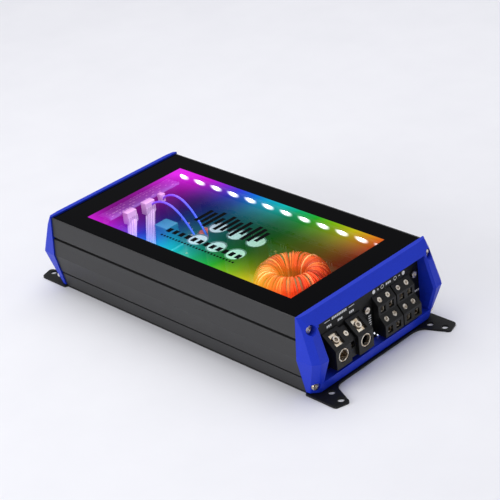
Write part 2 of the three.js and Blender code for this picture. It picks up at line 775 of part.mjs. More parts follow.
// A wound ring core lying flat on the board.
function woundRing({ x, y, outerRadius, holeRadius, height }, sides) {
  const tube = (outerRadius - holeRadius) / 2;
  const middle = (outerRadius + holeRadius) / 2;
  const profile = [];
  for (let i = 0; i <= ringSteps; i += 1) {
    const angle = -Math.PI / 2 + (i / ringSteps) * 2 * Math.PI;
    profile.push([middle + tube * Math.cos(angle), standing + height / 2 + (height / 2) * Math.sin(angle)]);
  }
  profile[ringSteps] = profile[0];
  return turned(profile, sides, x, y);
}
addPart(amplifier, 'output_toroid', woundRing(toroid, 32), copperWire);
addPart(amplifier, 'input_toroid', woundRing(smallToroid, 20), copperWire);

let capacitorNumber = 0;
for (const y of capacitorRows) {
  for (const x of capacitorColumns) {
    capacitorNumber += 1;
    const top = standing + capacitorHeight;
    const shoulder = capacitorShoulder;
    const profile = [
      [0, standing],
      [capacitorRadius - shoulder, standing],
      [capacitorRadius, standing + shoulder],
      [capacitorRadius, top - shoulder],
      [capacitorRadius - shoulder, top],
      [0, top],
    ];
    addPart(amplifier, `capacitor_${capacitorNumber}`, turned(profile, 20, x, y), sleeve);
  }
}

const core = transformer;
const bobbinFoot = block(core.x - core.length / 2, core.x + core.length / 2, core.y - core.width / 2,
  core.y + core.width / 2, standing, standing + core.footHeight);
const postHalfLength = core.length / 2 - core.footMargin;
const postHalfWidth = core.width / 2 - core.footMargin;
const corePost = block(core.x - postHalfLength, core.x + postHalfLength, core.y - postHalfWidth,
  core.y + postHalfWidth, standing + core.footHeight - overlap, standing + core.height);
addPart(amplifier, 'transformer', bobbinFoot.add(corePost), coreTeal);

const controlFloor = jackTop + controlBoard.clearance;
const controlEnd = -halfLength + controlBoard.endGap;
addPart(amplifier, 'control_board', block(controlEnd, controlEnd + controlBoard.depth, controlBoard.low,
  controlBoard.high, controlFloor, controlFloor + boardThickness), boardGreen);

const stripBack = railWallHalfWidth - fitGap;
const stripReach = halfLength - lightStrip.endGap;
const stripTop = upperPortFloor - lightStrip.drop;
addPart(amplifier, 'light_strip', block(-stripReach, stripReach, stripBack - lightStrip.thickness, stripBack,
  stripTop - lightStrip.width, stripTop), boardWhite);

for (const [name, side] of [['transistor_clamp_left', -1], ['transistor_clamp_right', 1]]) {
  const wall = railWallHalfWidth - fitGap;
  const outer = wall - clampBar.standoff;
  const inner = outer - clampBar.thickness;
  const half = clampBar.length / 2;
  const span = (a, b) => (side < 0 ? [-b, -a] : [a, b]);
  let bar = block(-half, half, ...span(inner, outer), clampBar.low, clampBar.high);
  for (const step of [-1, 0, 1]) {
    const low = step * clampBoss.pitch - clampBoss.length / 2;
    bar = bar.add(block(low, low + clampBoss.length, ...span(outer - overlap, wall), clampBar.low + past,
      clampBar.high - past));
  }
  addPart(amplifier, name, bar, blackSteel);
}

export default amplifier;
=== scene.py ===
# A car amplifier on a pale floor: base plate and rails first, then the circuit, the lit window, the
# end frames, the terminals and the signal panel, in the order the real one is put together.
import json
import math
import random

import bmesh
import bpy
from mathutils import Matrix, Vector

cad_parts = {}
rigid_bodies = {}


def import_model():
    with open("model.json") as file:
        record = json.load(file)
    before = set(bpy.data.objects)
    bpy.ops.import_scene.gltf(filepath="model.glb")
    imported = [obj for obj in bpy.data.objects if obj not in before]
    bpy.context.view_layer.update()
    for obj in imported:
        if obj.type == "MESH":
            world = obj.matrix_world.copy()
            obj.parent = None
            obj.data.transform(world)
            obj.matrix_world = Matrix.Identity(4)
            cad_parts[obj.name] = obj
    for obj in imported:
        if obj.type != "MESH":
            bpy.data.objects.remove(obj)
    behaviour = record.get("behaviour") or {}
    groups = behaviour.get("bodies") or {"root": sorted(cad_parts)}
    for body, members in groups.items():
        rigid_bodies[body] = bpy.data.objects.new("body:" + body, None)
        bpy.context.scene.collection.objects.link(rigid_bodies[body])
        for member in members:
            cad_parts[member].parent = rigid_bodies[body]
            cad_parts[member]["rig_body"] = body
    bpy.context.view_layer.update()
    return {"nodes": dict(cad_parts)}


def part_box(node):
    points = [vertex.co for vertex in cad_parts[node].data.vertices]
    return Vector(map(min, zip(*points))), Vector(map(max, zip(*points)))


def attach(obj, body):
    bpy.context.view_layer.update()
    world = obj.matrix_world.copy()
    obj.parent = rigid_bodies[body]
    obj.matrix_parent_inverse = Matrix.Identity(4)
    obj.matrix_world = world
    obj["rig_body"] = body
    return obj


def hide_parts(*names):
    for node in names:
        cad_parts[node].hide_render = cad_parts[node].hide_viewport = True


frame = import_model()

# ---- camera -----------------------------------------------------------------------------------
# A long lens looks down on the terminal end and the left side from about 30 degrees, and the
# camera is tilted a few degrees about its own axis.
camera = bpy.data.objects.new("camera", bpy.data.cameras.new("camera"))
bpy.context.scene.collection.objects.link(camera)
camera_right = Vector((0.710192, 0.695884, -0.106644))
camera_up = Vector((-0.271348, 0.410349, 0.870623))
camera_back = Vector((0.649614, -0.589372, 0.480253))
camera.matrix_world = Matrix((camera_right, camera_up, camera_back)).transposed().to_4x4()
camera.location = (0.739974, -0.655195, 0.579841)
camera.data.lens = 116.68
camera.data.sensor_width = 36
camera.data.clip_start = 0.05
bpy.context.scene.camera = camera

# ---- base plate -------------------------------------------------------------------------------
# Sheet steel, 1.5 mm thick, with a screw foot at each corner. It is punched and powder coated
# black, and the rails stand on it.
mm = 0.001


class Shade:
    """A shader socket that can be used in sums, products and comparisons."""

    def __init__(self, finish, output):
        self.finish, self.output = finish, output

    def maths(self, operation, *terms):
        return self.finish.node("ShaderNodeMath", {"operation": operation}, dict(enumerate(terms)))

    def through(self, operation):
        """The value put through a function of itself alone, such as SINE, FLOOR or FRACT."""
        return self.maths(operation, self)

    def __add__(self, other):
        return self.maths("ADD", self, other)

    def __sub__(self, other):
        return self.maths("SUBTRACT", self, other)

    def __rsub__(self, other):
        return self.maths("SUBTRACT", other, self)

    def __mul__(self, other):
        return self.maths("MULTIPLY", self, other)

    def __truediv__(self, other):
        return self.maths("DIVIDE", self, other)

    def __gt__(self, other):
        return self.maths("GREATER_THAN", self, other)

    def __lt__(self, other):
        return self.maths("LESS_THAN", self, other)

    def __abs__(self):
        return self.through("ABSOLUTE")

    __radd__, __rmul__ = __add__, __mul__

    def least(self, other):
        return self.maths("MINIMUM", self, other)

    def most(self, other):
        return self.maths("MAXIMUM", self, other)

    def spread(self, low, high, to_low=0.0, to_high=1.0):
        """The value moved from one range to another, and held inside it."""
        return self.finish.node("ShaderNodeMapRange", {"clamp": True}, {
            0: self, 1: low, 2: high, 3: to_low, 4: to_high})


def tone(code):
    """A screen colour such as 2236b4 as linear red, green, blue and full cover."""
    parts = [int(code[i:i + 2], 16) / 255 for i in (0, 2, 4)]
    return (*[p / 12.92 if p <= 0.04045 else ((p + 0.055) / 1.055) ** 2.4 for p in parts], 1.0)


class Finish:
    """A material built round one Principled surface. Uniform values go straight on its sockets."""

    def __init__(self, name, **sockets):
        self.material = bpy.data.materials.new(name)
        self.material.use_nodes = True
        self.tree = self.material.node_tree
        self.surface = self.tree.nodes["Principled BSDF"]
        for key, value in sockets.items():
            self.put(key.replace("_", " ").title().replace("Ior", "IOR"), value)
        self.place = Shade(self, self.tree.nodes.new("ShaderNodeTexCoord").outputs["Object"])

    def put(self, socket, value, node=None):
        target = (node or self.surface).inputs[socket]
        if isinstance(value, Shade):
            self.tree.links.new(value.output, target)
        else:
            target.default_value = value

    def node(self, kind, settings=None, sockets=None, out=0):
        made = self.tree.nodes.new(kind)
        for key, value in (settings or {}).items():
            if key == "stops":
                ramp = made.color_ramp
                while len(ramp.elements) < len(value):
                    ramp.elements.new(1.0)
                for element, (position, colour) in zip(ramp.elements, value):
                    element.position, element.color = position, colour
            else:
                setattr(made, key, value)
        for key, value in (sockets or {}).items():
            self.put(key, value, made)
        return Shade(self, made.outputs[out])

    def axes(self):
        made = self.node("ShaderNodeSeparateXYZ", sockets={0: self.place})
        outputs = made.output.node.outputs
        return [Shade(self, outputs[i]) for i in range(3)]

    def scaled(self, x, y, z):
        return self.node("ShaderNodeMapping", sockets={"Vector": self.place, "Scale": (x, y, z)})

    def noise(self, scale, detail=3.0, vector=None):
        return self.node("ShaderNodeTexNoise", {"noise_dimensions": "3D"}, {
            "Vector": vector or self.place, "Scale": scale, "Detail": detail})

    def mix(self, factor, first, second):
        return self.node("ShaderNodeMix", {"data_type": "RGBA"},
                         {0: factor, 6: first, 7: second}, out=2)

    def bump(self, height, distance):
        self.put("Normal", self.node("ShaderNodeBump", sockets={
            "Height": height, "Distance": distance, "Strength": 1.0}))


def coated(name, dark, light, rough, grain=900.0, depth=0.00002, cloud=14.0, **sockets):
    """A finish whose colour clouds softly between two tones under a fine even grain."""
    made = Finish(name, **sockets)
    patches = made.noise(cloud, detail=4.0)
    fine = made.noise(grain, detail=2.0)
    made.put("Base Color", made.mix(patches * 0.7 + fine * 0.3, tone(dark), tone(light)))
    made.put("Roughness", (patches * 0.6 + fine * 0.4).spread(0.3, 0.7, rough - 0.05, rough + 0.06))
    made.bump(fine, depth)
    return made


def finished(shape, name, finishes, body, slot, stands_for=(), crease=35.0, keep_round=None):
    """A bmesh made into the object of one piece, which rides on its body.

    Edges that turn less than the crease are shaded smooth. Those that run along keep_round are
    shaded smooth up to a wider turn, which keeps a long bevel soft.
    """
    mesh = bpy.data.meshes.new(name)
    if keep_round is None:
        shape.to_mesh(mesh)
        mesh.shade_smooth()
        mesh.set_sharp_from_angle(angle=math.radians(crease))
    else:
        for edge in shape.edges:
            turn = edge.calc_face_angle(0.0)
            along = abs((edge.verts[1].co - edge.verts[0].co).normalized().dot(keep_round))
            limit = 25 if along > 0.999 else crease
            edge.smooth = turn < math.radians(limit)
        for face in shape.faces:
            face.smooth = True
        shape.to_mesh(mesh)
    shape.free()
    piece = bpy.data.objects.new(name, mesh)
    bpy.context.scene.collection.objects.link(piece)
    for finish in finishes:
        mesh.materials.append(finish.material)
    evened = piece.modifiers.new("even_normals", "WEIGHTED_NORMAL")
    evened.keep_sharp = True
    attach(piece, body)
    if stands_for:
        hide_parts(*stands_for)
    return piece


def rounded(shape, width, angle=38.0, segments=2):
    """Rounds over every edge of a bmesh that is sharper than an angle."""
    limit = math.radians(angle)
    sharp = [e for e in shape.edges if len(e.link_faces) == 2 and e.calc_face_angle() > limit]
    bmesh.ops.bevel(shape, geom=sharp, offset=width * mm, offset_type="OFFSET", segments=segments,
                    profile=0.5, affect="EDGES", clamp_overlap=True, material=-1)
    return shape


def solid_copy(node):
    """The CAD solid of a node as a bmesh with whole flat faces."""
    shape = bmesh.new()
    shape.from_mesh(frame["nodes"][node].data)
    bmesh.ops.remove_doubles(shape, verts=shape.verts, dist=0.01 * mm)
    bmesh.ops.dissolve_limit(shape, angle_limit=math.radians(1), verts=shape.verts, edges=shape.edges)
    return shape


def softened(node, finish, slot, width=0.3, angle=38.0, segments=2, **looks):
    """A piece with a CAD solid's shape and rounded edges, standing for that solid."""
    shape = rounded(solid_copy(node), width, angle, segments)
    body = frame["nodes"][node]["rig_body"]
    return finished(shape, node + "_piece", [finish], body, slot, [node], **looks)


powder_coat = coated("powder_coat", "0a0a0a", "151515", 0.5, grain=1400.0, depth=0.00004,
                     specular_ior_level=0.25)
softened("base_plate", powder_coat, "black_steel_plate", 0.35)

# ---- side rails -------------------------------------------------------------------------------
# Extruded aluminium, bead blasted and anodised black. Two grooves run along each, and the upper
# face leans in over the ridge. The circuit's hot parts are clamped to the inside.
rail_anodising = Finish("rail_anodising", metallic=0.35)
rail_speckle = rail_anodising.noise(1500.0, detail=2.0)
rail_draw = rail_anodising.noise(60.0, detail=3.0, vector=rail_anodising.scaled(0.08, 1, 1))
rail_cloud = rail_anodising.noise(9.0, detail=3.0)
rail_anodising.put("Base Color", rail_anodising.mix(
    rail_speckle * 0.5 + rail_cloud * 0.5, tone("282828"), tone("3c3c3d")))
rail_anodising.put("Roughness", (rail_speckle * 0.5 + rail_draw * 0.5).spread(0.3, 0.7, 0.42, 0.56))
rail_anodising.bump(rail_speckle * 0.8 + rail_draw * 0.2, 0.00005)
for side in ("left", "right"):
    softened("side_rail_" + side, rail_anodising, "black_anodised_rail", 0.22, crease=8)

# ---- main board -------------------------------------------------------------------------------
# Glass-fibre board under green solder mask, with its tracks just showing. It slides into a ledge
# in both rails, and the small surface parts and film capacitors are soldered on it.
solder_mask = Finish("solder_mask", metallic=0.0)
mask_tracks = solder_mask.node("ShaderNodeTexVoronoi", {"feature": "DISTANCE_TO_EDGE"}, {
    "Vector": solder_mask.place, "Scale": 190.0})
mask_cloud = solder_mask.noise(60.0)
mask_green = solder_mask.mix(mask_cloud, tone("0f2a1e"), tone("184231"))
solder_mask.put("Base Color", solder_mask.mix(
    mask_tracks.spread(0.02, 0.06), tone("1e4f38"), mask_green))
solder_mask.put("Roughness", mask_cloud.spread(0.3, 0.7, 0.3, 0.5))
solder_mask.bump(mask_tracks.spread(0.02, 0.06, 1.0, 0.0), 0.00004)
softened("main_board", solder_mask, "circuit_board", 0.15)

board_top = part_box("main_board")[1].z / mm
chance = random.Random(7)


def box_at(shape, low, high, material=0):
    """Adds a box between two corners, in millimetres, to a bmesh."""
    made = bmesh.ops.create_cube(shape, size=1.0)["verts"]
    size = [(b - a) * mm for a, b in zip(low, high)]
    middle = [(a + b) / 2 * mm for a, b in zip(low, high)]
    bmesh.ops.scale(shape, verts=made, vec=size)
    bmesh.ops.translate(shape, verts=made, vec=middle)
    for face in {f for v in made for f in v.link_faces}:
        face.material_index = material
    return made


def rod_at(shape, radius, low, high, x, y, sides=20, top_radius=None, material=0):
    """Adds an upright round bar, in millimetres, to a bmesh."""
    made = bmesh.ops.create_cone(shape, cap_ends=True, segments=sides, radius1=radius * mm,
                                 radius2=(radius if top_radius is None else top_radius) * mm,
                                 depth=(high - low) * mm)["verts"]
    bmesh.ops.translate(shape, verts=made, vec=(x * mm, y * mm, (low + high) / 2 * mm))
    for face in {f for v in made for f in v.link_faces}:
        face.material_index = material
    return made


ceramic_body = coated("ceramic_body", "1a1a1c", "2a2a2c", 0.45, grain=2000.0)
tan_body = coated("tan_body", "9a7a48", "c8a870", 0.45, grain=2000.0)
tinned_end = coated("tinned_end", "9a9a96", "c4c4c0", 0.3, grain=1800.0, metallic=0.9)
film_box = coated("film_box", "8f1f18", "b0301f", 0.4, grain=1200.0)
tall_parts = []
for node in ("output_toroid", "input_toroid", "transformer", "control_board",
             *[f"capacitor_{number}" for number in range(1, 7)]):
    low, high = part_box(node)
    reach = (high - low).xy.length / 2 / mm * 0.9
    tall_parts.append(((low.x + high.x) / 2 / mm, (low.y + high.y) / 2 / mm, reach))


def clear_of_parts(x, y, gap):
    """Whether a spot on the board is that far from every tall part, in millimetres."""
    return all(math.hypot(x - a, y - b) > reach + gap for a, b, reach in tall_parts)


small_parts = bmesh.new()


def surface_part(x, y, long, wide, turned, look):
    """One small part with a tinned cap over each end, lying along the board or across it."""
    def spot(along, across, up):
        return (x + across, y + along, up) if turned else (x + along, y + across, up)

    top, cap_side = board_top + 0.8, wide / 2 + 0.03
    box_at(small_parts, spot(-long / 2, -wide / 2, board_top), spot(long / 2, wide / 2, top), look)
    for end in (-1, 1):
        near, far = sorted((end * long * 0.36, end * (long / 2 + 0.15)))
        box_at(small_parts, spot(near, -cap_side, board_top), spot(far, cap_side, top + 0.04), 1)


for _ in range(700):
    x, y = chance.uniform(-112, 112), chance.uniform(-48, 48)
    if not clear_of_parts(x, y, 2):
        continue
    long, wide = chance.choice([(1.8, 1.1), (2.6, 1.5), (3.2, 1.8)])
    look = chance.choice((0, 2))
    surface_part(x, y, long, wide, chance.random() >= 0.5, look)
finished(small_parts, "board_small_parts", [ceramic_body, tinned_end, tan_body], "chassis",
         "circuit_board")

film_parts = bmesh.new()
for x, y, long, wide, tall in (
        (12, -30, 11, 5, 9), (-4, -32, 11, 5, 9), (-22, -28, 9, 5, 8), (86, -34, 12, 6, 10),
        (88, 38, 10, 5, 9), (-92, -30, 12, 6, 10), (20, 40, 10, 5, 9)):
    box_at(film_parts, (x - long / 2, y - wide / 2, board_top),
           (x + long / 2, y + wide / 2, board_top + tall))
rounded(film_parts, 0.6)
finished(film_parts, "film_capacitors", [film_box], "chassis", "circuit_board")

# ---- ring cores -------------------------------------------------------------------------------
# Iron powder rings wound by hand with enamelled copper, three strands side by side, so that the
# strands crowd in the hole and fan out round the rim. Both stand flat on the board.
# Each strand takes a random level on a ramp from dark red to pale orange. The darker strands carry
# painted shade and the palest a painted highlight, under the enamel's own fine mottle.
enamel = Finish("enamelled_wire", metallic=0.55)
enamel_painted_strand_light = enamel.node("ShaderNodeAttribute", {"attribute_name": "strand"}, out="Fac")
enamel_mottle = enamel.noise(500.0)
enamel.put("Base Color", enamel.mix(
    enamel_mottle * 0.25, enamel.node("ShaderNodeValToRGB", {"stops": [
        (0.0, tone("98140a")), (0.3, tone("c8280e")), (0.62, tone("de4416")), (0.84, tone("e47038")),
        (1.0, tone("f0b888"))]}, {0: enamel_painted_strand_light}), tone("5a0c04")))
enamel.put("Roughness", enamel_mottle.spread(0.3, 0.7, 0.26, 0.44))
enamel.bump(enamel_mottle, 0.00005)
core_paint = coated("core_paint", "1d4a30", "2a6644", 0.5)


def swept_round(shape, axis, steps):
    """Spins everything in a bmesh once round the origin, closed on itself."""
    bmesh.ops.spin(shape, geom=shape.verts[:] + shape.edges[:], cent=(0, 0, 0), axis=axis,
                   dvec=(0, 0, 0), angle=math.tau, steps=steps, use_merge=True, use_duplicate=False)


def wound_ring(name, node, turns, strands, wire):
    """A painted ring core with its turns of wire, filling the box of one CAD solid."""
    low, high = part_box(node)
    centre = (low + high) / 2
    outer, tall = (high.x - low.x) / 2, (high.z - low.z) / 2
    inner = outer * 0.27
    middle, reach = (outer + inner) / 2, (outer - inner) / 2 - wire
    shape = bmesh.new()
    strand_of = shape.verts.layers.float.new("strand")
    ring = bmesh.ops.create_circle(shape, cap_ends=False, segments=20, radius=1.0)["verts"]
    bmesh.ops.rotate(shape, verts=ring, cent=(0, 0, 0), matrix=Matrix.Rotation(math.pi / 2, 3, "X"))
    bmesh.ops.scale(shape, verts=ring, vec=(reach - wire, 1.0, tall - 2 * wire))
    bmesh.ops.translate(shape, verts=ring, vec=(middle, 0, 0))
    swept_round(shape, (0, 0, 1), 48)
    for face in shape.faces:
        face.material_index = 1
    first = bmesh.new()
    wire_ring = bmesh.ops.create_circle(first, cap_ends=False, segments=6, radius=wire)["verts"]
    bmesh.ops.translate(first, verts=wire_ring, vec=(1.0, 0, 0))
    swept_round(first, (0, 1, 0), 22)
    loop_points = [v.co.copy() for v in first.verts]
    loop_faces = [[v.index for v in f.verts] for f in first.faces]
    first.free()
    for turn in range(turns):
        for strand in range(strands):
            beside = (strand - (strands - 1) / 2) / strands * 0.92
            spot = (turn + beside + chance.uniform(-0.05, 0.05)) / turns
            # A random level of painted shade and painted highlight for this strand.
            painted_strand_light = chance.random() ** 1.2
            lean = chance.uniform(-0.1, 0.1)
            lift = chance.uniform(-0.9, 0.0) * wire
            around = Matrix.Rotation(spot * math.tau, 3, "Z")
            made = []
            for point in loop_points:
                direction = Vector((point.x, 0, point.z)).normalized()
                place = point - direction
                place.x += direction.x * (reach + lift)
                place.z += direction.z * (tall - wire + lift)
                place.y += lean * place.z
                place.x += middle
                vertex = shape.verts.new(around @ place)
                vertex[strand_of] = painted_strand_light
                made.append(vertex)
            for corners in loop_faces:
                shape.faces.new([made[i] for i in corners])
    bmesh.ops.recalc_face_normals(shape, faces=shape.faces)
    bmesh.ops.translate(shape, verts=shape.verts, vec=centre)
    return finished(shape, name, [enamel, core_paint], "chassis", "copper_winding", [node])


wound_ring("output_ring_core", "output_toroid", 30, 3, 0.8 * mm)
wound_ring("input_ring_core", "input_toroid", 18, 2, 0.6 * mm)

# ---- capacitors -------------------------------------------------------------------------------
# Aluminium cans in a dark sleeve that curls over the top edge. The bare top is scored with a
# cross, so that it can vent.
can_sleeve = coated("can_sleeve", "16181c", "24272c", 0.35, grain=1000.0)
can_top = Finish("can_top", metallic=0.35)
can_brush = can_top.noise(700.0, vector=can_top.scaled(1, 0.15, 1))
can_top.put("Base Color", can_top.mix(can_brush, tone("7c827e"), tone("aab0aa")))
can_top.put("Roughness", can_brush.spread(0.3, 0.7, 0.35, 0.5))
can_top.bump(can_brush, 0.00003)
for number in range(1, 7):
    low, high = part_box(f"capacitor_{number}")
    middle_x, middle_y = (low.x + high.x) / 2 / mm, (low.y + high.y) / 2 / mm
    radius, bottom, top = (high.x - low.x) / 2 / mm, low.z / mm, high.z / mm
    can = bmesh.new()
    rod_at(can, radius, bottom, top, middle_x, middle_y, sides=40)
    lid = max(can.faces, key=lambda f: f.calc_center_median().z)
    bmesh.ops.inset_region(can, faces=[lid], thickness=1.3 * mm, depth=0)
    bmesh.ops.translate(can, verts=lid.verts[:], vec=(0, 0, -0.5 * mm))
    lid.material_index = 1
    rounded(can, 0.45, angle=50)
    for turn in (0.4, 0.4 + math.pi / 2):
        score = box_at(can, (-radius * 0.5, -0.12, top - 0.52), (radius * 0.5, 0.12, top - 0.47), 1)
        bmesh.ops.rotate(can, verts=score, cent=(0, 0, 0), matrix=Matrix.Rotation(turn, 3, "Z"))
        bmesh.ops.translate(can, verts=score, vec=(middle_x * mm, middle_y * mm, 0))
    finished(can, f"capacitor_can_{number}", [can_sleeve, can_top], "chassis", "capacitor_sleeve",
             [f"capacitor_{number}"])

# ---- transformer ------------------------------------------------------------------------------
# A ferrite core on a moulded bobbin, bound with several turns of teal tape, which is all that
# shows. It stands on the main board.
teal_wrap = Finish("teal_wrap", metallic=0.0)
wrap_up = teal_wrap.axes()[2]
wrap_lap = (wrap_up * 300.0).through("FRACT")
wrap_cloud = teal_wrap.noise(150.0)
teal_wrap.put("Base Color", teal_wrap.mix(
    wrap_cloud * 0.5 + wrap_lap * 0.4, tone("08706a"), tone("149088")))
teal_wrap.put("Roughness", wrap_cloud.spread(0.3, 0.7, 0.3, 0.45))
teal_wrap.bump(wrap_lap, 0.0001)
softened("transformer", teal_wrap, "teal_tape", 0.7, segments=3)

# ---- control board ----------------------------------------------------------------------------
# A second small board over the phono jacks. Its white plugs carry the flat ribbons and the blue
# leads that drop to the main board.
pale_mask = coated("pale_mask", "5a608c", "7a80b0", 0.4, grain=900.0)
softened("control_board", pale_mask, "circuit_board", 0.15)
plug_white = coated("plug_white", "b4b4b8", "dcdce0", 0.42, grain=1100.0)
control_low, control_high = (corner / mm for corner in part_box("control_board"))
control_edge = control_high.x
plug_spots = (-8.0, 10.0)
plugs = bmesh.new()
for y in plug_spots:
    box_at(plugs, (control_edge, y - 4.6, 37.0), (control_edge + 5.6, y + 4.6, control_high.z + 0.6))
    for pin in range(-2, 3):
        box_at(plugs, (control_edge + 5.2, y + pin * 2 - 0.5, 38.0),
               (control_edge + 6.2, y + pin * 2 + 0.5, 43.0))
box_at(plugs, (control_edge, 22, 40.0), (control_edge + 4.6, 26, control_high.z + 0.4))
for x, y in ((-88, -14), (-70, -22)):
    box_at(plugs, (x - 3, y - 6, board_top), (x + 3, y + 6, board_top + 6.5))
rounded(plugs, 0.35)
finished(plugs, "board_plugs", [plug_white], "chassis", "switch_white")

board_print = bmesh.new()
for row in range(4):
    for step in range(20):
        y = control_low.y + 3 + step * 3.3
        if chance.random() < 0.6 and y < control_high.y - 3:
            x = control_edge - 3.4 * row - 2.2
            box_at(board_print, (x, y, control_high.z),
                   (x + 1.0, y + chance.uniform(1.2, 2.6), control_high.z + 0.04))
finished(board_print, "board_print", [plug_white], "chassis", "circuit_board")

ribbon_sheath = Finish("ribbon_sheath", metallic=0.0)
ribbon_x, ribbon_y, _ = ribbon_sheath.axes()
strand_pitch = 1.3 * mm
# One wave raises a ridge over each strand. It also paints the sheath darker in the grooves between
# them, as painted shade, and lighter on the ridges.
ridges_and_groove_shade = ((ribbon_x * 0.8 + ribbon_y * 0.6) * (math.tau / strand_pitch)).through("SINE")
ribbon_sheath.put("Base Color", ribbon_sheath.mix(
    ridges_and_groove_shade.spread(-1, 1), tone("a8a8b0"), tone("e6e6ea")))
ribbon_sheath.put("Roughness", ribbon_sheath.noise(200.0).spread(0.3, 0.7, 0.35, 0.5))
ribbon_sheath.bump(ridges_and_groove_shade, 0.0002)


def bowed_strip(shape, start, end, width, thick, rise, steps=14):
    """A flat or round lead that leaves one point, bows up and lands on another, in millimetres."""
    start, end = Vector(start), Vector(end)
    across = (end - start).cross(Vector((0, 0, 1))).normalized()
    corners = bmesh.ops.create_circle(shape, cap_ends=False, segments=8, radius=0.5)["verts"]
    edges = list({e for v in corners for e in v.link_edges})
    spots = []
    for step in range(steps + 1):
        t = step / steps
        bow = math.sin(math.pi * t) ** 0.8 if 0 < t < 1 else 0
        spots.append(start.lerp(end, t) + Vector((0, 0, rise * bow)))
    for index, spot in enumerate(spots):
        ahead = spots[min(index + 1, steps)] - spots[max(index - 1, 0)]
        normal = across.cross(ahead).normalized()
        if index:
            made = bmesh.ops.extrude_edge_only(shape, edges=edges)["geom"]
            edges = [g for g in made if isinstance(g, bmesh.types.BMEdge)]
            corners = [g for g in made if isinstance(g, bmesh.types.BMVert)]
        for number, vertex in enumerate(corners):
            turn = math.tau * number / 8
            side, up = math.cos(turn) * width / 2, math.sin(turn) * thick / 2
            vertex.co = (spot + across * side + normal * up) * mm


ribbons = bmesh.new()
for y in plug_spots:
    bowed_strip(ribbons, (control_edge + 5, y, 40), (control_edge + 14, y - 12, 16), 7, 0.9, 3)
bmesh.ops.recalc_face_normals(ribbons, faces=ribbons.faces)
finished(ribbons, "ribbon_leads", [ribbon_sheath], "chassis", "switch_white")
blue_sleeve = coated("blue_sleeve", "2a3cc8", "5468f0", 0.35, grain=900.0)
leads = bmesh.new()
for start, end, rise in (((-97, 12, 42), (-50, 12, 26), 14), ((-97, 24, 42), (-48, 20, 26), 15)):
    bowed_strip(leads, start, end, 1.7, 1.7, rise, steps=20)
bmesh.ops.recalc_face_normals(leads, faces=leads.faces)
finished(leads, "blue_leads", [blue_sleeve], "chassis", "switch_white")

# ---- transistors ------------------------------------------------------------------------------
# Power transistors in black moulded cases stand on tinned legs along both rails. A steel bar with
# three bosses presses each row against its rail.
for side in ("left", "right"):
    softened("transistor_clamp_" + side, powder_coat, "black_steel_plate", 0.25)
transistor_case = coated("transistor_case", "141416", "222226", 0.4, grain=1600.0)
transistors = bmesh.new()
rail_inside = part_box("transistor_clamp_right")[1].y / mm
for side in (-1, 1):
    for number in range(12):
        x = -82.5 + number * 15
        near, far = sorted((side * (rail_inside - 4.4), side * rail_inside))
        box_at(transistors, (x - 5, near, board_top + 4), (x + 5, far, board_top + 14), 0)
        near, far = sorted((side * (rail_inside - 2.6), side * (rail_inside - 2.0)))
        for leg in (x - 2.5, x, x + 2.5):
            box_at(transistors, (leg - 0.4, near, board_top), (leg + 0.4, far, board_top + 4.2), 1)
rounded(transistors, 0.25)
finished(transistors, "power_transistors", [transistor_case, tinned_end], "chassis",
         "black_steel_plate")

# ---- light strip ------------------------------------------------------------------------------
# A narrow dark board on the right rail with a row of bright lamps under domed lenses. The lamps
# light the inside, and round each one a soft pool of light is painted on the board as glow.
strip_mask = Finish("strip_mask", emission_strength=3.4, specular_ior_level=0.2)
strip_x, _, strip_z = strip_mask.axes()
lamp_pitch, lamp_first, lamp_height = 17.9, -109.7, 43.6
glow_long, glow_tall = 7.4, 3.1
# A pool of painted light round each lamp, fading out from its middle, which the board gives off as
# emission.
strip_along = ((strip_x / mm - (lamp_first - lamp_pitch / 2)) / lamp_pitch).through("FRACT")
strip_along = (strip_along - 0.5) * lamp_pitch / glow_long
strip_up = (strip_z / mm - lamp_height) / glow_tall
painted_lamp_pool = (strip_along * strip_along + strip_up * strip_up).spread(0.05, 1.0, 1.0, 0.0)
strip_mask.put("Base Color", strip_mask.mix(strip_mask.noise(600.0), tone("0c0c0e"), tone("18181b")))
strip_mask.put("Roughness", strip_mask.noise(900.0).spread(0.3, 0.7, 0.4, 0.55))
strip_mask.put("Emission Color", strip_mask.mix(
    painted_lamp_pool * painted_lamp_pool, tone("000000"), tone("f4f8ff")))
softened("light_strip", strip_mask, "strip_white", 0.2)
lamp_glow = Finish("lamp_glow", roughness=0.3, emission_strength=9.0)
lamp_glow.put("Base Color", tone("ffffff"))
lamp_glow.put("Emission Color", lamp_glow.mix(
    lamp_glow.noise(120.0) * 0.2, tone("ffffff"), tone("e6f0ff")))
strip_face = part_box("light_strip")[0].y / mm
lamps = bmesh.new()
for number in range(12):
    lens = bmesh.ops.create_uvsphere(lamps, u_segments=16, v_segments=10, radius=mm)["verts"]
    bmesh.ops.scale(lamps, verts=lens, vec=(3.2, 1.0, 1.4))
    middle = Vector((lamp_first + lamp_pitch * number, strip_face, lamp_height)) * mm
    bmesh.ops.translate(lamps, verts=lens, vec=middle)
finished(lamps, "strip_lamps", [lamp_glow], "chassis", "strip_white")

# ---- top panel --------------------------------------------------------------------------------
# Polished acrylic, 3 mm thick, printed black from below except for the window. The window glows
# with painted light, a rainbow along its length, brighter where the lamps light it from the sides.
window_low, window_high = (-98.4, -45.5), (100.6, 45.5)
window_light_strength = 3.0
top_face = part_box("top_panel")[1].z
acrylic = Finish("printed_acrylic", roughness=0.06, specular_ior_level=0.03,
                 emission_strength=window_light_strength)
acrylic_x, acrylic_y, acrylic_z = acrylic.axes()


def inside_window(spot, low, high, soft=0.25):
    """1 between two lines across the sheet and 0 beyond them, with a fine printed edge."""
    past_low = spot.spread((low - soft) * mm, low * mm)
    short_of_high = spot.spread(high * mm, (high + soft) * mm, 1.0, 0.0)
    return past_low.least(short_of_high)


